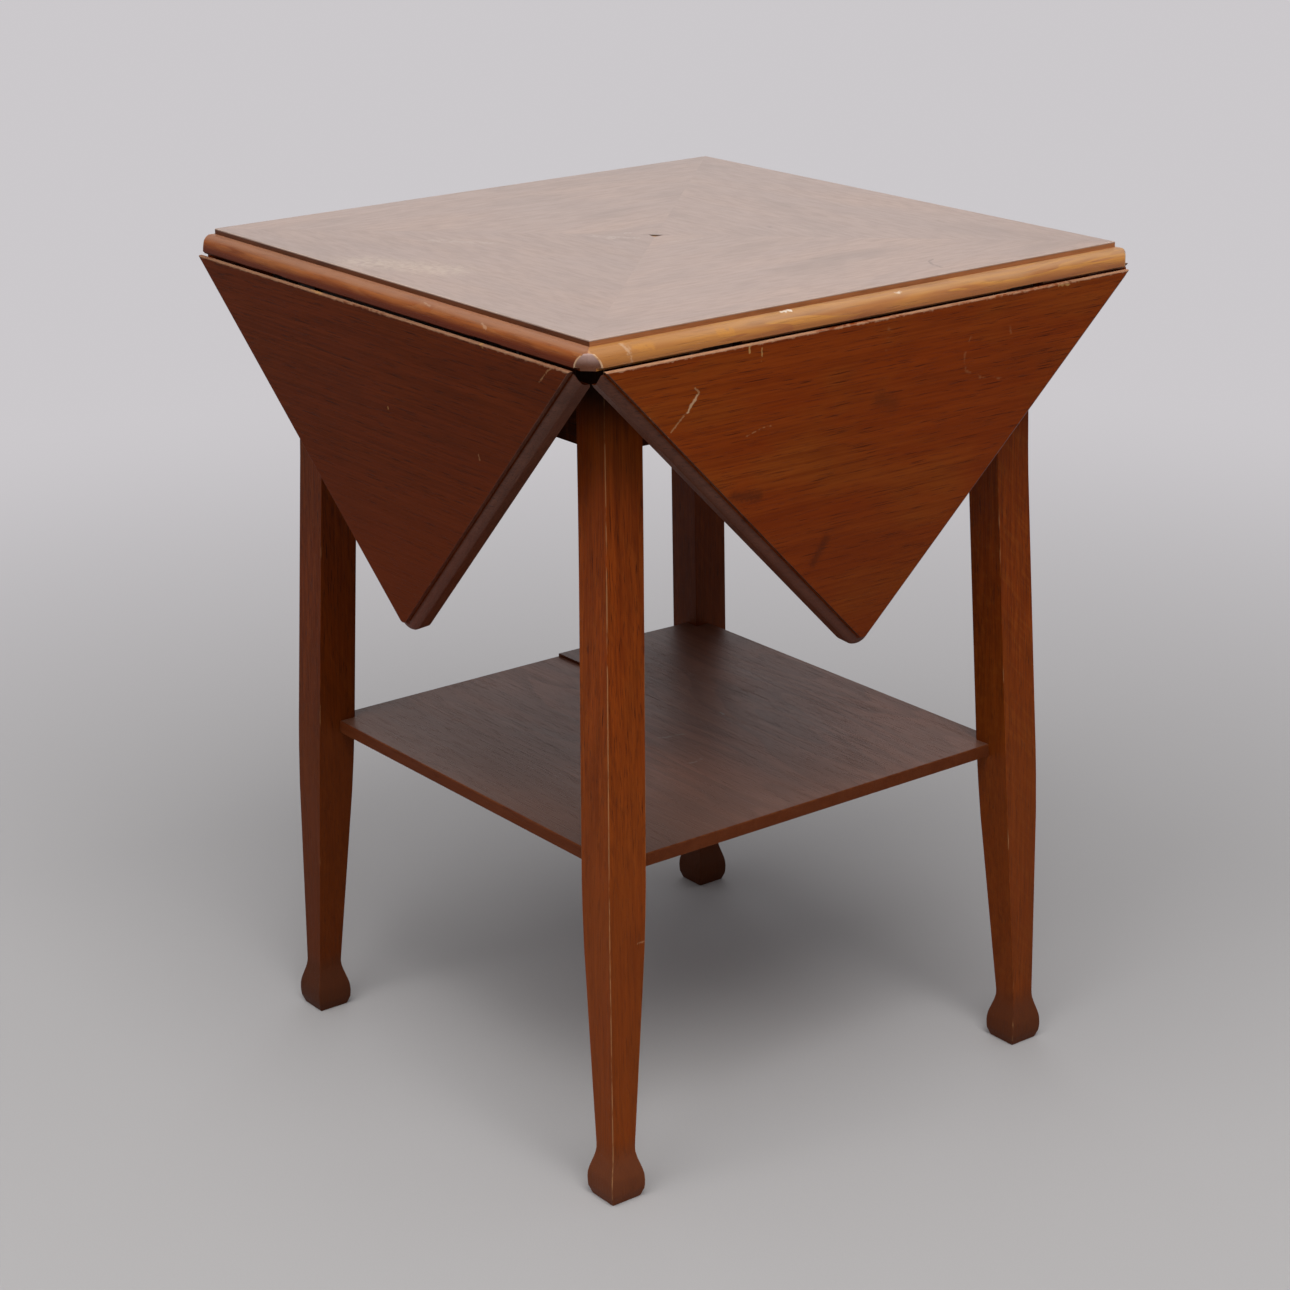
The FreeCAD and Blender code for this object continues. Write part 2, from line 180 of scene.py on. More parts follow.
# wood: a turn, in degrees, brings the grain to the texture's X axis, scales are counts in a metre,
# a span is where a layer starts and ends on its noise, and the tones are dark, middle, light and warm
woodBase = {
    "turn": (0, 0, 0), "shift": (0, 0, 0), "level": 1.0,
    "streaks": (3.5, 95, 95), "streakSpan": (0.30, 0.70),
    "clouds": (7, 17, 17), "cloudSpan": (0.42, 0.68), "cloudShare": 0.6,
    "stainCount": 1.7, "stainSpan": (0.50, 0.74), "stainShare": 0.4,  # stains are finer than clouds
    "flames": (3, 30, 30), "flameCount": 6, "flameShare": 0.0,
    "flameRise": (0.15, 0.9), "flameFall": (1.0, 0.92),  # a flame grows slowly, then starts again
    "fleckSpan": (0.46, 0.70), "fleckShare": 0.0,
    "fibres": (9, 620, 620), "fibreSpan": (0.36, 0.72), "fibreShare": 0.30,
    "pores": (38, 1500, 1500), "poreSpan": (0.58, 0.70), "poreShare": 0.35, "poreLevel": 0.4,
    "rubs": (10, 120, 120), "worn": 0.0, "wornFrom": 0.47, "wornSoft": 0.14, "wornRough": 0.2,
    "rough": 0.45, "roughShare": 1.0, "fibreRough": 0.16, "cloudRough": 0.14, "gloss": 0.12,
    "relief": 0.0002, "fibreRelief": 0.5, "poreRelief": 0.6, "streakRelief": 0.4,
    "shades": [], "markAxis": 1, "marks": []}
layerNoise = {  # detail, roughness and bend
    "fibre": (3.0, 0.6, 0.0), "streak": (4.0, 0.6, 0.0), "pore": (2.0, 0.5, 0.0),
    "cloud": (4.0, 0.6, 0.3), "stain": (3.0, 0.55, 0.2), "rub": (4.0, 0.65, 0.0), "flame": (1.5, 0.45, 0.3)}
fleckNoise = (2.0, 0.5)
# a mark shows where the skip noise is above "broken", which a whole mark lowers by "mended"
markNoise = {"scuff": (420, 420, 420), "skip": (150, 150, 150), "detail": 3.0, "rough": 0.6,
             "broken": 0.67, "mended": 0.4}
markBase = {"core": 0.3, "ragged": 3.0, "blur": 0.05}  # core is the share of the width with the full tone


def scaled(tone, share):
    return [value * share for value in tone]


def lineMark(tone, width, share, whole, *line, **more):
    # a scratch, chip or stain: its width in metres, how strong and how unbroken it is, and its points
    return {**markBase, "tone": tone, "width": width, "share": share, "whole": whole, "line": line, **more}


def woodFigure(finish, wood):
    place = finish.place(wood["turn"], wood["shift"])
    figure = {}
    for layer, noiseLook in layerNoise.items():
        figure[layer] = finish.noise(place, wood[layer + "s"], *noiseLook)
    figure["pore"] = figure["pore"].step(*wood["poreSpan"])
    ring = (figure["flame"] * wood["flameCount"]).fraction()
    figure["flame"] = ring.step(*wood["flameRise"]) * ring.step(*wood["flameFall"])
    figure["own"] = finish.parts(finish.place(wood["turn"]))
    return figure


def woodColour(finish, figure, wood):
    dark, mid, light, warm = [scaled(tone, wood["level"]) for tone in wood["tones"]]
    body = finish.mix(figure["streak"].step(*wood["streakSpan"]), mid, light)
    body = finish.mix(figure["cloud"].step(*wood["cloudSpan"]) * wood["cloudShare"], body, warm)
    body = finish.mix(figure["stain"].step(*wood["stainSpan"]) * wood["stainShare"], body, dark)
    if wood["flameShare"]:
        body = finish.mix(figure["flame"] * wood["flameShare"], body, wood["flameTone"])
    if wood["fleckShare"]:
        fleck = finish.noise(finish.place(wood["fleckTurn"], wood["shift"]), wood["flecks"], *fleckNoise)
        body = finish.mix(fleck.step(*wood["fleckSpan"]) * wood["fleckShare"], body, wood["fleckTone"])
    body = finish.mix(figure["fibre"].step(*wood["fibreSpan"]) * wood["fibreShare"], body, dark)
    body = finish.mix(figure["pore"] * wood["poreShare"], body, scaled(dark, wood["poreLevel"]))
    for shade in wood["shades"]:  # a change of tone along one axis, such as a dirty foot, or painted shade and painted sheen such as a dark underside or a pale top
        along = figure["own"][shade["axis"]] + (figure["cloud"] - noiseMiddle) * shade["soft"]
        body = finish.mix(along.step(*shade["span"]) * shade["share"], body, shade["tone"])
    return body


def markShare(finish, figure, mark, axis):
    # how far a mark covers a point of the surface
    nearest = None
    for start, end in zip(mark["line"], mark["line"][1:]):
        distance = finish.lineDistance(figure["own"][0], figure["own"][axis], start, end)
        nearest = distance if nearest is None else nearest.least(distance)
    ragged = nearest + (figure["scuff"] - noiseMiddle) * (mark["width"] * mark["ragged"])
    middle = markNoise["broken"] - mark["whole"] * markNoise["mended"]
    unbroken = figure["skip"].step(middle - mark["blur"], middle + mark["blur"])
    return ragged.step(mark["width"], mark["width"] * mark["core"]) * unbroken * mark["share"]


def woodFinish(name, wood):
    wood = {**woodBase, **wood}
    wood["stains"] = scaled(wood["clouds"], wood["stainCount"])
    finish = Finish(bpy.data.materials.new(name))
    figure = woodFigure(finish, wood)
    colour = woodColour(finish, figure, wood)
    uneven = (figure["fibre"] - noiseMiddle) * wood["fibreRough"]
    uneven = uneven + (figure["cloud"] - noiseMiddle) * wood["cloudRough"]
    rough = wood["rough"] + uneven * wood["roughShare"]
    if wood["worn"]:  # bare, lighter wood where the finish has rubbed away
        bare = figure["rub"].step(wood["wornFrom"], wood["wornFrom"] + wood["wornSoft"]) * wood["worn"]
        colour = finish.mix(bare, colour, wood["bare"])
        rough = rough + bare * wood["wornRough"]
    if wood["marks"]:
        place = finish.place()
        for layer in ("scuff", "skip"):
            figure[layer] = finish.noise(place, markNoise[layer], markNoise["detail"], markNoise["rough"])
    for mark in wood["marks"]:
        colour = finish.mix(markShare(finish, figure, mark, wood["markAxis"]), colour, mark["tone"])
    grain = figure["fibre"] * wood["fibreRelief"] - figure["pore"] * wood["poreRelief"]
    grain = grain + figure["streak"] * wood["streakRelief"]
    finish.feed(Base_Color=colour, Roughness=rough, Normal=finish.bump(grain, wood["relief"]))
    finish.feed(Specular_IOR_Level=wood["gloss"])
    return finish.material


# tools for shaping pieces, in metres and degrees
shaping = {"merge": 0.00001, "flat": 0.5, "sharp": 25, "smooth": 40}


def selectOnly(piece):
    bpy.ops.object.select_all(action="DESELECT")
    bpy.context.view_layer.objects.active = piece
    piece.select_set(True)


def openMesh(piece):
    selectOnly(piece)
    bpy.ops.object.mode_set(mode="EDIT")
    bpy.ops.mesh.select_mode(type="EDGE")


def closeMesh():
    bpy.ops.object.mode_set(mode="OBJECT")


def copyOf(node, name, materials):
    # a copy of a node's mesh with its faces joined up and its flat faces whole
    piece = bpy.data.objects.new(name, nodes[node].data.copy())
    bpy.context.scene.collection.objects.link(piece)
    piece.data.materials.clear()
    for material in materials:
        piece.data.materials.append(material)
    openMesh(piece)
    bpy.ops.mesh.select_all(action="SELECT")
    bpy.ops.mesh.customdata_custom_splitnormals_clear()
    bpy.ops.mesh.remove_doubles(threshold=shaping["merge"])
    bpy.ops.mesh.dissolve_limited(angle_limit=math.radians(shaping["flat"]))
    closeMesh()
    return piece


def pickEdges(piece, test):
    # selects the sharp outer edges that pass a test, and returns how many there are
    mesh = piece.data
    facing = {}
    for face in mesh.polygons:
        for key in face.edge_keys:
            facing.setdefault(key, []).append(face)
    for item in list(mesh.polygons) + list(mesh.vertices):
        item.select = False
    count = 0
    for edge in mesh.edges:
        edge.select = False
        faces = facing.get(tuple(sorted(edge.vertices)), [])
        if len(faces) == 2 and faces[0].normal.angle(faces[1].normal, 0) > math.radians(shaping["sharp"]):
            outer = (faces[1].center - faces[0].center).dot(faces[0].normal) < 0
            first, second = [mesh.vertices[index].co for index in edge.vertices]
            edge.select = outer and test(first, second, faces[0].normal, faces[1].normal)
            count += edge.select
    return count


def easeEdges(piece, test, width, segments=2, slot=1):
    # rounds sharp edges, and gives the new faces the material of a rubbed edge
    count = pickEdges(piece, test)
    if count:
        openMesh(piece)
        bpy.ops.mesh.bevel(offset=width, segments=segments, profile=0.5, affect="EDGES", material=slot)
        closeMesh()
    return count


def cutAcross(piece, point, normal, clear=False):
    # adds a line of edges where a plane passes, or cuts off what lies behind it
    openMesh(piece)
    bpy.ops.mesh.select_all(action="SELECT")
    bpy.ops.mesh.bisect(plane_co=point, plane_no=normal, use_fill=clear, clear_inner=clear)
    closeMesh()


def sortFaces(piece, chooseSlot):
    # gives each face the material that its place and normal ask for, apart from rounded edges
    for face in piece.data.polygons:
        if face.material_index == 0:
            face.material_index = chooseSlot(face.center, face.normal)


def settle(piece, body, slot, *stoodFor):
    # smooth shading and the piece's place in the frame
    selectOnly(piece)
    bpy.ops.object.shade_smooth_by_angle(angle=math.radians(shaping["smooth"]))
    weighted = piece.modifiers.new("faces", "WEIGHTED_NORMAL")
    weighted.keep_sharp = True
    bpy.ops.object.modifier_apply(modifier=weighted.name)
    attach(piece, body)
    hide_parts(*stoodFor)


def turned(point, quarters):
    # a point or direction as seen with its side turned to +X
    return Matrix.Rotation(math.radians(-90 * quarters), 3, "Z") @ point


def sideTurn(quarters):
    # brings the run of a side to the texture's X axis
    return (0, 0, -90 * (quarters + 1))


def drifted(drift, quarters):
    # moves the figure on, so that no two pieces of a kind have the same
    return [step * quarters for step in drift]


# legs: their shades run up the leg, and their marks are lines of (height, across)
legSettings = {
    "arris": 0.0006, "shortest": 0.0015, "upright": 0.7, "mortise": (0.604, 0.680), "worn": 0.5,
    "drift": (0.37, 0.21, 0.13),
    "wood": {
        "turn": (0, 90, 0), "streaks": (4, 210, 210), "fibres": (12, 700, 700), "clouds": (5, 14, 14),
        "tones": ((0.070, 0.0110, 0.0010), (0.134, 0.0215, 0.0014),
                  (0.178, 0.0320, 0.0026), (0.160, 0.0350, 0.0034)),
        "fibreShare": 0.55, "poreShare": 0.8, "gloss": 0.06,
        "flames": (2.2, 34, 34), "flameCount": 7, "flameShare": 0.20, "flameTone": (0.085, 0.0130, 0.0012),
        "flecks": (200, 210, 20), "fleckTurn": (-28, 0, 0), "fleckShare": 0.2,
        "fleckTone": (0.27, 0.066, 0.008),
        "bare": (0.46, 0.25, 0.11), "rubs": (22, 150, 150)},
    "shank": {"axis": 0, "span": (0.42, 0.20), "soft": 0.05, "share": 0.5, "tone": (0.126, 0.0280, 0.0048)},
    "foot": {"axis": 0, "span": (0.054, 0.030), "soft": 0.02, "share": 0.75, "tone": (0.080, 0.026, 0.012)},
    # painted shadow: each leg's top, under the leaves, is darkened nearly to black
    "headShadow": {"axis": 0, "span": (0.605, 0.650), "soft": 0.015, "share": 0.93, "tone": (0.010, 0.004, 0.002)},
    # each leg's level carries painted light: the front and right legs are lit copies, the left and back legs
    # darker copies that stand for shade
    "looks": {
        "front": {"footLevel": 1.55, "level": 1.62, "wornFrom": 0.42, "fleckShare": 0.22, "marks": [
            lineMark((0.42, 0.24, 0.12), 0.0011, 0.4, 0.5,
                     (0.2148, -0.1990), (0.2148, -0.1870), (0.2135, -0.1745))]},
        "right": {"footLevel": 1.00, "level": 1.46, "wornFrom": 0.55, "fleckShare": 0.45,
                  "fleckTurn": (-42, 0, 0), "flecks": (200, 260, 24)},
        "left": {"footLevel": 0.82, "level": 0.88, "wornFrom": 0.58, "fleckShare": 0.12},
        "back": {"footLevel": 0.80, "level": 0.84, "wornFrom": 0.60, "fleckShare": 0.12}}}


def onLegArris(first, second, normal, otherNormal):
    low, high = sorted((first.z, second.z))
    length = (first - second).length
    inMortise = legSettings["mortise"][0] < low and high < legSettings["mortise"][1]
    return high - low > legSettings["upright"] * length and length > legSettings["shortest"] and not inMortise


for quarters, corner in enumerate(corners):
    name = "leg_" + corner
    look = legSettings["looks"][corner]
    shank, foot, headShadow = [legSettings[part] for part in ("shank", "foot", "headShadow")]
    shades = [{**shank, "tone": scaled(shank["tone"], look["level"])},
              {**foot, "tone": scaled(foot["tone"], look["footLevel"])}, headShadow]
    wood = {**legSettings["wood"], **look, "shades": shades, "shift": drifted(legSettings["drift"], quarters)}
    materials = [woodFinish("leg_wood_" + corner, wood),
                 woodFinish("leg_arris_" + corner, {**wood, "worn": legSettings["worn"]})]
    leg = copyOf(name, "waxed_" + name, materials)
    count = easeEdges(leg, onLegArris, legSettings["arris"])
    settle(leg, "base", "leg_wood", name)
    print(name, "eased along", count, "edges")

# leaves: their marks are lines of (along the hinge, height)
paleScratch = (0.36, 0.19, 0.085)
brightScratch = (0.50, 0.31, 0.17)
yellowChip = (0.46, 0.25, 0.08)
darkSmudge = (0.045, 0.011, 0.004)
smudged = {"core": 0.0, "ragged": 1.0}
leafSettings = {
    "arris": 0.0005, "shortest": 0.0032, "outerHalf": 0.0095, "drift": (0.31, 0.17, 0.23),
    "lipRound": 0.0009, "lipSegments": 4, "lipCuts": 130,
    "lipDrop": 0.0030, "rubbedLip": (0.0011, 0.8, 0.45),  # a rub just under the rounded lip
    "chipDepth": 0.0005, "chipFrom": 0.05, "chipIn": 0.7,
    "chips": [{"share": 1.0, "count": 55, "row": 7.3, "level": 0},
              {"share": 0.6, "count": 190, "row": 3.1, "level": 5}],
    "facing": 0.99, "faceDepth": 0.001, "lipSlope": 0.8, "lipDepth": 0.004,
    "backing": -0.9, "hollowSlope": 0.02,
    "wood": {
        "streaks": (3, 70, 70), "fibres": (8, 560, 560), "clouds": (6, 15, 15), "markAxis": 2, "gloss": 0.05,
        "tones": ((0.123, 0.0182, 0.0017), (0.206, 0.0306, 0.0018),
                  (0.240, 0.0413, 0.0033), (0.244, 0.0611, 0.0066)),
        "fibreShare": 0.55, "poreShare": 0.8,
        "flames": (1.6, 16, 16), "flameCount": 5, "flameShare": 0.12, "flameTone": (0.129, 0.0196, 0.0017),
        "bare": (0.40, 0.21, 0.120), "wornFrom": 0.36},
    "lip": {"worn": 0.85},
    # the moulded band is darker and greyer than the face: painted shade and painted reflection on the
    # moulding that faces down
    "band": {
        "tones": ((0.0567, 0.0161, 0.0076), (0.1059, 0.0312, 0.0142),
                  (0.1330, 0.0436, 0.0217), (0.1172, 0.0378, 0.0189)),
        "level": 1.0, "flameShare": 0.0, "gloss": 0.22, "marks": []},
    "bandArris": {"worn": 0.6, "wornFrom": 0.60},
    "looks": {
        "front_right": {
            "shades": [
                {"axis": 2, "span": (0.62, 0.44), "soft": 0.1, "share": 0.4,
                 "tone": (0.105, 0.0170, 0.0028)}],
            "marks": [
                lineMark(paleScratch, 0.0009, 0.7, 0.8, (-0.178, 0.656), (-0.174, 0.6525), (-0.179, 0.645)),
                lineMark(paleScratch, 0.0009, 0.65, 0.75,
                         (-0.179, 0.645), (-0.183, 0.640), (-0.186, 0.638), (-0.198, 0.627)),
                lineMark(brightScratch, 0.0013, 0.85, 0.9,
                         (-0.1755, 0.6500), (-0.1815, 0.6430), (-0.1835, 0.6390)),
                lineMark(paleScratch, 0.0006, 0.5, 0.4,
                         (-0.1015, 0.6155), (-0.113, 0.6155), (-0.1295, 0.6110)),
                lineMark(yellowChip, 0.0010, 0.8, 0.8, (-0.130, 0.6800), (-0.1290, 0.6745)),
                lineMark(yellowChip, 0.0008, 0.7, 0.5, (-0.118, 0.6760), (-0.1172, 0.6655)),
                lineMark(yellowChip, 0.0012, 0.8, 0.6, (0.180, 0.6790), (0.190, 0.6780)),
                lineMark(yellowChip, 0.0012, 0.8, 0.7, (0.202, 0.6785), (0.204, 0.6745)),
                lineMark(paleScratch, 0.0016, 0.22, 0.3, (0.089, 0.652), (0.084, 0.637), (0.087, 0.625),
                         (0.105, 0.617), (0.125, 0.613), core=0.0),
                lineMark(paleScratch, 0.0030, 0.16, 0.3, (0.005, 0.671), (0.003, 0.652), core=0.0),
                lineMark(paleScratch, 0.0018, 0.2, 0.3, (0.130, 0.653), (0.136, 0.636), core=0.0),
                lineMark(darkSmudge, 0.0075, 0.55, 1.0, (-0.137, 0.567), (-0.114, 0.563), **smudged),
                lineMark(darkSmudge, 0.0065, 0.5, 1.0, (-0.045, 0.516), (-0.056, 0.499), **smudged),
                lineMark(darkSmudge, 0.0120, 0.35, 1.0, (0.000, 0.618), (0.014, 0.612), **smudged)]},
        "back_right": {"level": 0.9, "marks": []},
        "back_left": {"level": 0.8, "marks": []},
        "front_left": {
            # darker tones than the other leaves: painted shade on the left side
            "tones": ((0.0600, 0.0112, 0.0018), (0.1015, 0.0160, 0.0019),
                      (0.120, 0.0202, 0.0026), (0.111, 0.0210, 0.0030)),
            "flameTone": (0.068, 0.0125, 0.0028), "bare": (0.27, 0.14, 0.08), "gloss": 0.03,
            "shades": [
                {"axis": 2, "span": (0.60, 0.45), "soft": 0.1, "share": 0.5,
                 "tone": (0.135, 0.0205, 0.0020)}],
            "marks": [
                lineMark(yellowChip, 0.0010, 0.6, 1.0, (0.0137, 0.6055), (0.0140, 0.6042)),
                lineMark(paleScratch, 0.0010, 0.4, 0.8, (0.133, 0.5935), (0.134, 0.5900)),
                lineMark(paleScratch, 0.0009, 0.5, 0.6, (0.236, 0.679), (0.231, 0.676), (0.220, 0.666)),
                lineMark(yellowChip, 0.0012, 0.6, 0.6, (-0.082, 0.681), (-0.066, 0.6795)),
                lineMark(yellowChip, 0.0012, 0.6, 0.7, (0.148, 0.681), (0.152, 0.6785))]}}}
faceSlot, lipSlot, bandSlot, backSlot, bandArrisSlot = range(5)


def makeLeaf(quarters, side):
    name = "leaf_" + side
    wood = {**leafSettings["wood"], **leafSettings["looks"][side], "turn": sideTurn(quarters),
            "shift": drifted(leafSettings["drift"], quarters)}
    bandWood = {**wood, **leafSettings["band"]}
    lipHeight = hingeAxis.z - leafSettings["lipDrop"]
    lipLine = [(-faceHalf, lipHeight), (faceHalf, lipHeight)]
    rubbedLip = lineMark(wood["bare"], *leafSettings["rubbedLip"], *lipLine)
    faceWood = {**wood, "marks": wood["marks"] + [rubbedLip]}
    materials = [woodFinish("leaf_face_" + side, faceWood),
                 woodFinish("leaf_lip_" + side, {**faceWood, **leafSettings["lip"]}),
                 woodFinish("leaf_band_" + side, bandWood),
                 woodFinish("leaf_back_" + side, {**wood, "marks": []}),
                 woodFinish("leaf_arris_" + side, {**bandWood, **leafSettings["bandArris"]})]
    leaf = copyOf(name, "waxed_" + name, materials)

    def plumbed(direction):  # as seen with the leaf turned to +X and hanging plumb
        return Matrix.Rotation(-lean, 3, "Y") @ turned(direction, quarters)

    def hung(point):  # the same for a point, from the hinge's axis
        return Matrix.Rotation(-lean, 3, "Y") @ (turned(point, quarters) - hingeAxis)

    leafPoints = [hung(vertex.co) for vertex in leaf.data.vertices]
    faceOut = max(point.x for point in leafPoints)
    lipTop = max(point.z for point in leafPoints if point.x > faceOut - hair)
    lipReach = leafSettings["chipDepth"] + 2 * hair

    def onLip(point):
        spot = hung(point)
        return spot.x > faceOut - lipReach and spot.z > lipTop - lipReach

    def onLipArris(first, second, normal, otherNormal):
        return onLip(first) and onLip(second)

    def onShowSide(first, second, normal, otherNormal):
        near = min(hung(first).x, hung(second).x)
        return near > leafSettings["outerHalf"] and (first - second).length > leafSettings["shortest"]

    def leafSlot(centre, normal):
        facing = plumbed(normal)
        depth = faceOut - hung(centre).x
        if facing.x > leafSettings["facing"] and depth < leafSettings["faceDepth"]:
            return faceSlot
        if facing.z > leafSettings["lipSlope"] and depth < leafSettings["lipDepth"]:
            return lipSlot
        if facing.x < leafSettings["backing"] or facing.z > leafSettings["hollowSlope"]:
            return backSlot
        return bandSlot

    pickEdges(leaf, onLipArris)
    openMesh(leaf)
    bpy.ops.mesh.subdivide(number_cuts=leafSettings["lipCuts"])
    closeMesh()
    outward = turned(Vector((1, 0, 0)), -quarters)
    for vertex in leaf.data.vertices:
        if onLip(vertex.co):  # a lip that is chipped and rubbed here and there
            run = turned(vertex.co, quarters).y
            chip = 0.0
            for layer in leafSettings["chips"]:
                place = Vector((run * layer["count"], quarters * layer["row"], layer["level"]))
                chip += layer["share"] * noise.noise(place)
            depth = leafSettings["chipDepth"] * max(0.0, chip - leafSettings["chipFrom"])
            vertex.co -= outward * (depth * leafSettings["chipIn"]) + Vector((0, 0, depth))
    count = easeEdges(leaf, onLipArris, leafSettings["lipRound"], leafSettings["lipSegments"], lipSlot)
    count += easeEdges(leaf, onShowSide, leafSettings["arris"], slot=bandArrisSlot)
    sortFaces(leaf, leafSlot)
    settle(leaf, side + "_leaf", "leaf_wood", name)
    print(name, "eased along", count, "edges")


for quarters, side in enumerate(sides):
    makeLeaf(quarters, side)

# rounded mouldings of the top: their marks are lines of (along the side, out from the middle), and
# out is negative
whiteNick = (0.80, 0.72, 0.62)
paleRub = (0.58, 0.42, 0.29)
orangeEye = (0.60, 0.26, 0.030)
# painted shade darkens each round towards its bottom, and a pale tone towards its top paints the sheen of the
# light
roundShades = [
    {"axis": 2, "span": (0.6910, 0.6840), "soft": 0.006, "share": 0.7, "tone": (0.25, 0.068, 0.010)},
    {"axis": 2, "span": (0.6890, 0.6930), "soft": 0.006, "share": 0.55, "tone": (0.45, 0.265, 0.140)}]
nearShade = {"axis": 0, "span": (-0.10, -0.24), "soft": 0.03, "share": 0.6, "tone": (0.36, 0.140, 0.022)}
# darker tones for the left rounds: painted shade, a shaded copy of the right rounds' wood
shadedEdgeTones = ((0.110, 0.0240, 0.0050), (0.225, 0.0570, 0.0105),
                 (0.300, 0.0880, 0.0190), (0.310, 0.1000, 0.0240))
edgeSettings = {
    "arris": 0.0007, "worn": 0.6, "drift": (0.19, 0.27, 0.11),
    "facetTurn": 0.6, "filletTurn": 0.9, "filletLow": 0.694, "rimDrop": 0.001,
    "wood": {
        "streaks": (5, 110, 110), "fibres": (12, 500, 500), "clouds": (9, 60, 60),
        "gloss": 0.5, "rough": 0.36,
        "tones": ((0.205, 0.0600, 0.0120), (0.340, 0.1200, 0.0270),
                  (0.430, 0.1750, 0.0460), (0.440, 0.1950, 0.0530)),
        "stainShare": 0.7,
        "flames": (9, 70, 70), "flameCount": 5, "flameShare": 0.7, "flameTone": (0.58, 0.26, 0.040),
        "bare": (0.55, 0.38, 0.24), "wornFrom": 0.36, "shades": roundShades},
    "plain": {"level": 1.0, "flameShare": 0.0, "shades": [], "marks": []},  # for fillets and facets
    "fillet": {
        "tones": ((0.150, 0.0480, 0.0150), (0.330, 0.1200, 0.0430),
                  (0.430, 0.1750, 0.0680), (0.390, 0.1480, 0.0560)), "gloss": 0.1},
    # painted shade: the left fillet is a darker copy of the right one
    "shadedLeftFillet": {
        "tones": ((0.052, 0.0130, 0.0035), (0.110, 0.0310, 0.0090),
                  (0.148, 0.0470, 0.0150), (0.132, 0.0400, 0.0125)), "gloss": 0.1},
    # facets: dark tones paint their shade, and the pale tone towards the top paints the highlight along the
    # rim
    "facet": {
        "tones": ((0.060, 0.0190, 0.0090), (0.095, 0.0330, 0.0160),
                  (0.120, 0.0450, 0.0230), (0.110, 0.0400, 0.0200)), "gloss": 0.2,
        "shades": [
            {"axis": 2, "span": (0.6830, 0.6930), "soft": 0.003, "share": 0.9,
             "tone": (0.47, 0.310, 0.270)}]},
    "looks": {
        "front_right": {"shades": roundShades + [nearShade], "marks": [
            lineMark(whiteNick, 0.0022, 0.9, 1.0, (-0.0873, -0.2605), (-0.0797, -0.2605)),
            lineMark(whiteNick, 0.0014, 0.6, 0.8, (0.0201, -0.2640), (0.0252, -0.2640)),
            lineMark(paleRub, 0.0026, 0.4, 0.8, (-0.2345, -0.2625), (-0.2319, -0.2690), core=0.0),
            lineMark(orangeEye, 0.0034, 0.45, 0.7, (-0.1520, -0.2673), (-0.1400, -0.2677), **smudged),
            lineMark(orangeEye, 0.0034, 0.4, 0.7, (-0.2266, -0.2670), (-0.2110, -0.2674), **smudged)]},
        "back_right": {"level": 0.85},
        "back_left": {"tones": shadedEdgeTones},
        "front_left": {
            "tones": shadedEdgeTones, "gloss": 0.09, "flameShare": 0.3, "flameTone": (0.36, 0.15, 0.05),
            # painted shade low on the round and painted sheen near its top
            "shades": [
                {"axis": 2, "span": (0.6915, 0.6850), "soft": 0.005, "share": 0.92,
                 "tone": (0.085, 0.0110, 0.0015)},
                {"axis": 2, "span": (0.6905, 0.6940), "soft": 0.004, "share": 0.6,
                 "tone": (0.33, 0.175, 0.110)}],
            "marks": [
                lineMark(paleRub, 0.0009, 0.24, 0.8, (0.0616, -0.2643), (0.0714, -0.2656)),
                lineMark(paleRub, 0.0009, 0.26, 0.8, (0.1396, -0.2663), (0.1480, -0.2687))]}}}
roundSlot, edgeArrisSlot, filletSlot, facetSlot = range(4)


def makeEdge(quarters, side):
    name = "edge_" + side
    wood = {**edgeSettings["wood"], **edgeSettings["looks"][side], "turn": sideTurn(quarters),
            "shift": drifted(edgeSettings["drift"], quarters)}
    plainWood = {**wood, **edgeSettings["plain"]}
    filletLook = edgeSettings["shadedLeftFillet" if side == "front_left" else "fillet"]
    materials = [woodFinish("edge_round_" + side, wood),
                 woodFinish("edge_arris_" + side, {**wood, "worn": edgeSettings["worn"]}),
                 woodFinish("edge_fillet_" + side, {**plainWood, **filletLook}),
                 woodFinish("edge_facet_" + side, {**plainWood, **edgeSettings["facet"]})]
    edge = copyOf(name, "moulded_" + name, materials)

    def isFacet(normal):
        facing = turned(normal, quarters)
        return facing.x > edgeSettings["facetTurn"] and abs(facing.y) > edgeSettings["facetTurn"]

    def onFacetRim(first, second, normal, otherNormal):
        onMitre = max(abs(abs(end.x) - abs(end.y)) for end in (first, second)) < 2 * hair
        shows = min(first.z, second.z) > hingeAxis.z - edgeSettings["rimDrop"] and not onMitre
        return shows and isFacet(normal) != isFacet(otherNormal)

    def edgeSlot(centre, normal):
        if isFacet(normal):
            return facetSlot
        if turned(normal, quarters).x > edgeSettings["filletTurn"] and centre.z > edgeSettings["filletLow"]:
            return filletSlot
        return roundSlot

    count = easeEdges(edge, onFacetRim, edgeSettings["arris"], slot=edgeArrisSlot)
    sortFaces(edge, edgeSlot)
    settle(edge, "top", "edge_wood", name)
    print(name, "eased along", count, "edges")


for quarters, side in enumerate(sides):
    makeEdge(quarters, side)

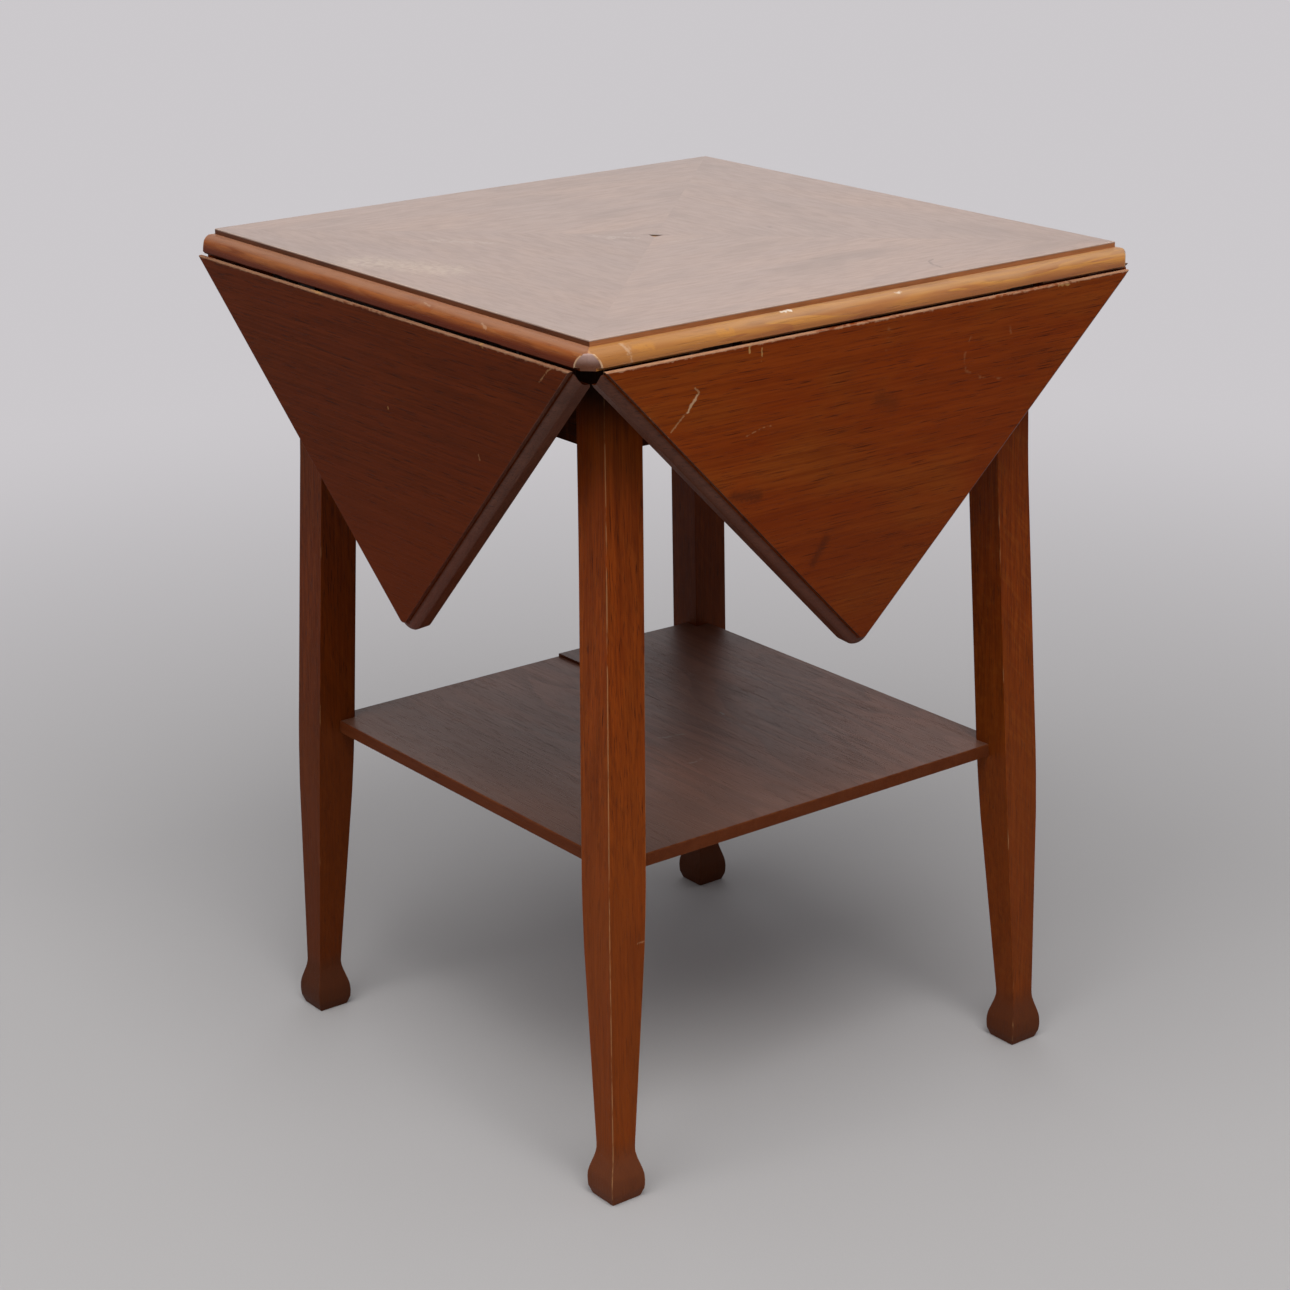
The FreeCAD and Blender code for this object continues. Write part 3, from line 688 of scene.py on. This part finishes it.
# veneer of the top: its marks run as those of the mouldings do
paleStreak = (0.44, 0.35, 0.29)
# a soft pale patch on the top
palePatch = (0.46, 0.350, 0.255)
darkRing = (0.13, 0.085, 0.065)
# a dark line at the flaked tips: partly the crack, partly painted shadow along the far edge of the hole
crackAndShadow = (0.045, 0.026, 0.018)
veneerSettings = {
    "arris": 0.0005, "worn": 0.9, "drift": (0.41, 0.13, 0.07),
    "brokenTip": {"front_right": (0.0048, 0.15), "front_left": (0.0052, -0.20)},  # length lost and slant
    "wood": {
        "streaks": (7, 42, 42), "fibres": (45, 240, 240), "clouds": (5, 12, 12), "gloss": 0.5, "rough": 0.44,
        # pale greyish tones: partly the top's real fading, partly painted sheen
        "tones": ((0.213, 0.1410, 0.1070), (0.298, 0.2010, 0.1610),
                  (0.318, 0.2130, 0.1680), (0.352, 0.2320, 0.1770)),
        "flames": (1.4, 11, 11), "flameCount": 4, "flameShare": 0.05, "flameTone": (0.20, 0.140, 0.106),
        "stainShare": 0.6, "cloudShare": 0.8, "fibreShare": 0.42, "poreShare": 0.35,
        "bare": (0.50, 0.37, 0.30), "wornFrom": 0.34, "relief": 0.00003, "roughShare": 0.4},
    "looks": {
        "front_right": {"level": 1.005, "marks": [
            lineMark(darkRing, 0.0016, 0.6, 0.8,
                     (0.103, -0.214), (0.096, -0.218), (0.0905, -0.227), (0.0885, -0.240)),
            lineMark(paleStreak, 0.0020, 0.3, 0.5, (-0.012, -0.030), (0.020, -0.034), core=0.0)]},
        "back_right": {"level": 0.965, "marks": [
            lineMark(crackAndShadow, 0.0009, 0.8, 1.0, (0.0, -0.0003), (-0.0068, -0.0071)),
            lineMark(darkRing, 0.0030, 0.5, 1.0, (-0.037, -0.089), (-0.034, -0.090), core=0.0)]},
        "back_left": {"level": 0.97, "marks": [
            lineMark(paleStreak, 0.0018, 0.5, 0.8, (0.0147, -0.0220), (0.0116, -0.0194)),
            lineMark(crackAndShadow, 0.0009, 0.8, 1.0, (0.0, -0.0003), (0.0068, -0.0071))]},
        "front_left": {"level": 0.915, "marks": [
            lineMark(darkRing, 0.0030, 0.4, 0.7, (-0.0049, -0.0377), (0.0040, -0.0275), core=0.0),
            lineMark(paleStreak, 0.0018, 0.5, 0.8, (-0.0149, -0.0372), (-0.0117, -0.0336)),
            lineMark(paleStreak, 0.0018, 0.5, 0.8, (-0.0018, -0.0220), (0.0014, -0.0184)),
            lineMark(palePatch, 0.0330, 0.42, 0.55, (-0.066, -0.236), (-0.036, -0.222), (0.002, -0.205),
                     core=0.0, blur=0.16, ragged=1.4),
            lineMark(paleStreak, 0.0050, 0.35, 0.5, (-0.028, -0.040), (-0.004, -0.022), core=0.0),
            lineMark(paleStreak, 0.0080, 0.25, 0.5, (-0.100, -0.150), (-0.060, -0.120), core=0.0)]}}}


def makeVeneer(quarters, side):
    name = "veneer_" + side
    wood = {**veneerSettings["wood"], **veneerSettings["looks"][side], "turn": sideTurn(quarters),
            "shift": drifted(veneerSettings["drift"], quarters)}
    materials = [woodFinish("top_veneer_" + side, wood),
                 woodFinish("top_arris_" + side, {**wood, "worn": veneerSettings["worn"]})]
    veneer = copyOf(name, "faded_and_sheen_" + name, materials)

    def onFaceRim(first, second, normal, otherNormal):
        atTop = min(first.z, second.z) > topHeight - hair
        return atTop and min(turned(first, quarters).x, turned(second, quarters).x) > faceHalf - hair

    easeEdges(veneer, onFaceRim, veneerSettings["arris"])
    if side in veneerSettings["brokenTip"]:  # the veneer's point has flaked away at the middle of the top
        lost, slant = veneerSettings["brokenTip"][side]
        tip = turned(Vector((lost, 0, topHeight)), -quarters)
        cutAcross(veneer, tip, turned(Vector((1, slant, 0)), -quarters), True)
    settle(veneer, "top", "top_veneer", name)


for quarters, side in enumerate(sides):
    makeVeneer(quarters, side)
print("top laid")

# shelf boards, the rear one sprung up along the seam at its left end
palerSpeck = (0.36, 0.32, 0.29)
# painted shade: the shelf darkens towards its front and right edges, and the rear board towards its back-left
# corner under the table
shelfShades = [
    {"axis": 0, "span": (0.05, 0.19), "soft": 0.06, "share": 0.6, "tone": (0.096, 0.0480, 0.0340)},
    {"axis": 1, "span": (0.00, -0.17), "soft": 0.06, "share": 0.85, "tone": (0.088, 0.0390, 0.0240)}]
rearShade = {"axis": 0, "span": (-0.06, -0.16), "soft": 0.05, "share": 0.6, "tone": (0.060, 0.0180, 0.0100)}
shelfSettings = {
    "arris": 0.0009, "worn": 0.5, "seamWidth": 0.006, "flatTurn": 0.9, "faceTurn": 0.5,
    "lift": 0.0026, "liftTo": Vector((-0.05, 0.19)), "liftFrom": Vector((-0.19, 0.04)), "cuts": 7,
    "wood": {
        "streaks": (3, 80, 80), "fibres": (9, 560, 560), "clouds": (4, 9, 9), "gloss": 0.085, "rough": 0.42,
        "tones": ((0.130, 0.0470, 0.0250), (0.235, 0.0920, 0.0530),
                  (0.285, 0.1180, 0.0710), (0.255, 0.1000, 0.0580)),
        "flames": (2.4, 13, 13), "flameCount": 14, "flameShare": 0.5, "flameTone": (0.135, 0.0500, 0.0270),
        "bare": (0.20, 0.062, 0.020), "wornFrom": 0.44},
    "edge": {
        "tones": ((0.072, 0.0160, 0.0050), (0.112, 0.0260, 0.0080),
                  (0.135, 0.0340, 0.0110), (0.125, 0.0330, 0.0100)),
        "shades": [], "gloss": 0.03, "flameShare": 0.1, "marks": []},
    "looks": {
        "shelf_front_board": {"shades": shelfShades, "marks": [
            lineMark(palerSpeck, 0.0016, 0.4, 0.5,
                     (0.0170, -0.0160), (0.0205, -0.0087), (0.0211, -0.0006), (0.0236, 0.0061), core=0.0),
            lineMark(palerSpeck, 0.0016, 0.4, 0.5,
                     (0.0787, -0.0311), (0.0796, -0.0265), (0.0775, -0.0185), core=0.0)]},
        "shelf_rear_board": {"shades": shelfShades + [rearShade], "marks": [
            lineMark(palerSpeck, 0.0012, 0.7, 1.0, (0.003, 0.0625), (0.008, 0.0620))]}}}
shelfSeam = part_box("shelf_rear_board")[0].y
boardSlot, boardArrisSlot, boardEdgeSlot = range(3)


def easing(value):
    share = min(1.0, max(0.0, value))
    return share * share * (3 - 2 * share)


def onBoardRim(first, second, normal, otherNormal):
    atSeam = max(abs(first.y - shelfSeam), abs(second.y - shelfSeam)) < shelfSettings["seamWidth"]
    flat = max(abs(normal.z), abs(otherNormal.z)) > shelfSettings["flatTurn"]
    return abs(first.z - second.z) < hair and flat and not atSeam


def chooseBoardSlot(centre, normal):
    return boardSlot if abs(normal.z) > shelfSettings["faceTurn"] else boardEdgeSlot


def spring(board):
    start, end = shelfSettings["liftFrom"], shelfSettings["liftTo"]
    for cut in range(1, shelfSettings["cuts"] + 1):
        spot = start.lerp(end, cut / shelfSettings["cuts"])
        cutAcross(board, (spot.x, 0, 0), (1, 0, 0))
        cutAcross(board, (0, spot.y, 0), (0, 1, 0))
    for vertex in board.data.vertices:
        shareX = easing((end.x - vertex.co.x) / (end.x - start.x))
        shareY = easing((end.y - vertex.co.y) / (end.y - start.y))
        vertex.co.z += shelfSettings["lift"] * shareX * shareY


for name, look in shelfSettings["looks"].items():
    wood = {**shelfSettings["wood"], **look}
    boardEdgeWood = {**wood, **shelfSettings["edge"]}
    materials = [woodFinish(name + "_wood", wood),
                 woodFinish(name + "_arris", {**boardEdgeWood, "worn": shelfSettings["worn"]}),
                 woodFinish(name + "_edge", boardEdgeWood)]
    board = copyOf(name, "dull_" + name, materials)
    easeEdges(board, onBoardRim, shelfSettings["arris"], slot=boardArrisSlot)
    sortFaces(board, chooseBoardSlot)
    if name == "shelf_rear_board":
        spring(board)
    settle(board, "base", "shelf_wood", name)
print("shelf laid")

# pieces that stay as they are under the top
rawTones = ((0.080, 0.0400, 0.0180), (0.200, 0.1100, 0.0500),
            (0.280, 0.1650, 0.0850), (0.230, 0.1300, 0.0650))
rawWood = {"tones": rawTones, "rough": 0.62, "fibreShare": 0.45, "flames": (1.5, 20, 20),
           "flameShare": 0.35, "flameTone": rawTones[0]}
coreLevel = 1.7  # paler than the other raw wood
apronLevel = 0.3  # darker than the legs
ironSettings = {
    "steel": (0.24, 0.23, 0.22), "dark": (0.10, 0.09, 0.085), "rust": (0.16, 0.07, 0.03),
    "patches": 40, "patchNoise": (4.0, 0.6), "patchSpan": (0.35, 0.65),
    "spots": 160, "spotNoise": (3.0, 0.6), "rustFrom": 0.56, "rustSoft": 0.12, "rustDull": 0.9,
    "rough": 0.42, "rustRough": 0.35, "patchRough": 0.1, "rustRelief": 0.5, "relief": 0.0001}


def ironFinish(name, iron):
    # dull steel with brown spots of rust
    finish = Finish(bpy.data.materials.new(name))
    place = finish.place()
    patch = finish.noise(place, [iron["patches"]] * 3, *iron["patchNoise"])
    spots = finish.noise(place, [iron["spots"]] * 3, *iron["spotNoise"])
    spots = spots.step(iron["rustFrom"], iron["rustFrom"] + iron["rustSoft"])
    colour = finish.mix(patch.step(*iron["patchSpan"]), iron["dark"], iron["steel"])
    colour = finish.mix(spots, colour, iron["rust"])
    rough = iron["rough"] + spots * iron["rustRough"] + patch * iron["patchRough"]
    finish.feed(Base_Color=colour, Metallic=1 - spots * iron["rustDull"], Roughness=rough)
    finish.feed(Normal=finish.bump(patch + spots * iron["rustRelief"], iron["relief"]))
    return finish.material


hingeFinish = ironFinish("hinge_steel", ironSettings)
screwFinish = ironFinish("screw_steel", {**ironSettings, "steel": (0.32, 0.31, 0.29), "rustFrom": 0.60})
swivelFinish = ironFinish("swivel_iron", {**ironSettings, "steel": (0.12, 0.115, 0.11), "rough": 0.55})
blockFinish = woodFinish("block_wood", {**rawWood, "turn": (0, 90, 0), "shift": (0.2, 0.4, 0)})
keptFinishes = {
    "top_core": woodFinish("core_wood", {**rawWood, "level": coreLevel}),
    "pivot_rail": woodFinish("rail_wood", {**rawWood, "turn": (0, 0, -90)}),
    "swivel_plate": swivelFinish, "swivel_washer": swivelFinish, "swivel_nut": swivelFinish,
    "hinge_top_flaps": hingeFinish, "hinge_pins": hingeFinish, "hinge_top_screws": screwFinish,
    "swivel_plate_screws": screwFinish, "corner_block_screws": screwFinish}
for corner in corners:
    keptFinishes["corner_block_" + corner] = blockFinish
for quarters, side in enumerate(sides):
    apronWood = {**legSettings["wood"], "turn": sideTurn(quarters), "level": apronLevel}
    keptFinishes["apron_" + side] = woodFinish("apron_wood_" + side, apronWood)
    keptFinishes["leaf_flaps_" + side] = hingeFinish
    keptFinishes["leaf_screws_" + side] = screwFinish
for name, material in keptFinishes.items():
    nodes[name].data.materials.clear()
    nodes[name].data.materials.append(material)
print("finishes done")

# floor that fades into a plain backdrop
floorSettings = {"size": 120.0, "colour": (0.46, 0.455, 0.46), "darker": 0.97,
                 "grain": 900, "grainNoise": (2.0, 0.55), "grainSpan": (0.3, 0.7), "rough": 0.9, "gloss": 0.1,
                 "backdrop": (0.60, 0.58, 0.60), "fade": (0.45, 2.3)}
bpy.ops.object.select_all(action="DESELECT")
bpy.ops.mesh.primitive_plane_add(size=floorSettings["size"], location=(0, 0, 0))
floor = bpy.context.object
floor.name = "floor"
paper = Finish(bpy.data.materials.new("floor_paper"))
paperPlace = paper.place()
paperGrain = paper.noise(paperPlace, [floorSettings["grain"]] * 3, *floorSettings["grainNoise"])
paperGrain = paperGrain.step(*floorSettings["grainSpan"])
paperDark = scaled(floorSettings["colour"], floorSettings["darker"])
paper.feed(Base_Color=paper.mix(paperGrain, paperDark, floorSettings["colour"]))
paper.feed(Roughness=floorSettings["rough"], Specular_IOR_Level=floorSettings["gloss"])
paperX, paperY = paper.parts(paperPlace)[:2]
fade = ((paperX * paperX + paperY * paperY) ** 0.5).step(*floorSettings["fade"]) * paper.seen()
glow = paper.node("ShaderNodeEmission", {}, {"Color": (*floorSettings["backdrop"], 1)})
matt = Wire(paper, paper.shader.outputs[0])
faded = paper.node("ShaderNodeMixShader", {}, {0: fade, 1: matt, 2: glow})
paper.tree.links.new(faded.socket, paper.tree.nodes["Material Output"].inputs["Surface"])
floor.data.materials.append(paper.material)
print("floor laid")

# lamps that face the table, and a world that lights it more dimly than the backdrop looks
lightSettings = {
    "world": (0.25, 0.245, 0.25), "aim": Vector((0, 0, 0.45)),
    "lamps": {
        "above": {"place": (0.5, -0.4, 4.8), "size": 2.6, "power": 40, "colour": (1.0, 0.99, 0.98)},
        "right": {"place": (1.9, -0.7, 3.2), "size": 1.8, "power": 64, "colour": (1.0, 0.98, 0.96)},
        "front": {"place": (0.45, -2.0, 3.0), "size": 1.8, "power": 36, "colour": (1.0, 0.98, 0.96)},
        "back": {"place": (-2.25, 1.7, 1.7), "size": 2.0, "power": 11, "colour": (0.98, 0.98, 1.0)}}}
for name, light in lightSettings["lamps"].items():
    lamp = bpy.data.lights.new(name, "AREA")
    lamp.size = light["size"]
    lamp.energy = light["power"]
    lamp.color = light["colour"]
    holder = bpy.data.objects.new(name + "_light", lamp)
    holder.location = light["place"]
    beam = lightSettings["aim"] - Vector(light["place"])
    holder.rotation_euler = beam.to_track_quat("-Z", "Y").to_euler()
    holder.visible_camera = False
    bpy.context.scene.collection.objects.link(holder)

world = bpy.data.worlds.new("studio")
bpy.context.scene.world = world
sky = Finish(world, "Background")
sky.feed(Color=sky.mix(sky.seen(), lightSettings["world"], floorSettings["backdrop"]))
print("light set")

# camera: turned about the table, in degrees, metres and millimetres of lens
cameraSettings = {"azimuth": 52.651, "elevation": 19.433, "roll": -0.707, "distance": 2.4486,
                  "aside": -0.0130, "height": 0.3502, "lens": 80.91, "sensor": 36.0}
azimuth = math.radians(cameraSettings["azimuth"])
elevation = math.radians(cameraSettings["elevation"])
level = math.cos(elevation)
back = Vector((math.sin(azimuth) * level, -math.cos(azimuth) * level, math.sin(elevation)))
right = Vector((math.cos(azimuth), math.sin(azimuth), 0))
roll = Matrix.Rotation(math.radians(cameraSettings["roll"]), 3, back)
axes = [roll @ right, roll @ back.cross(right), back]
lens = bpy.data.cameras.new("camera")
lens.lens = cameraSettings["lens"]
lens.sensor_width = cameraSettings["sensor"]
camera = bpy.data.objects.new("camera", lens)
camera.matrix_world = Matrix(axes).transposed().to_4x4()
camera.location = right * cameraSettings["aside"] + Vector((0, 0, cameraSettings["height"]))
camera.location += back * cameraSettings["distance"]
bpy.context.scene.collection.objects.link(camera)
bpy.context.scene.camera = camera
bpy.context.scene.view_settings.view_transform = "Standard"
print("camera set")
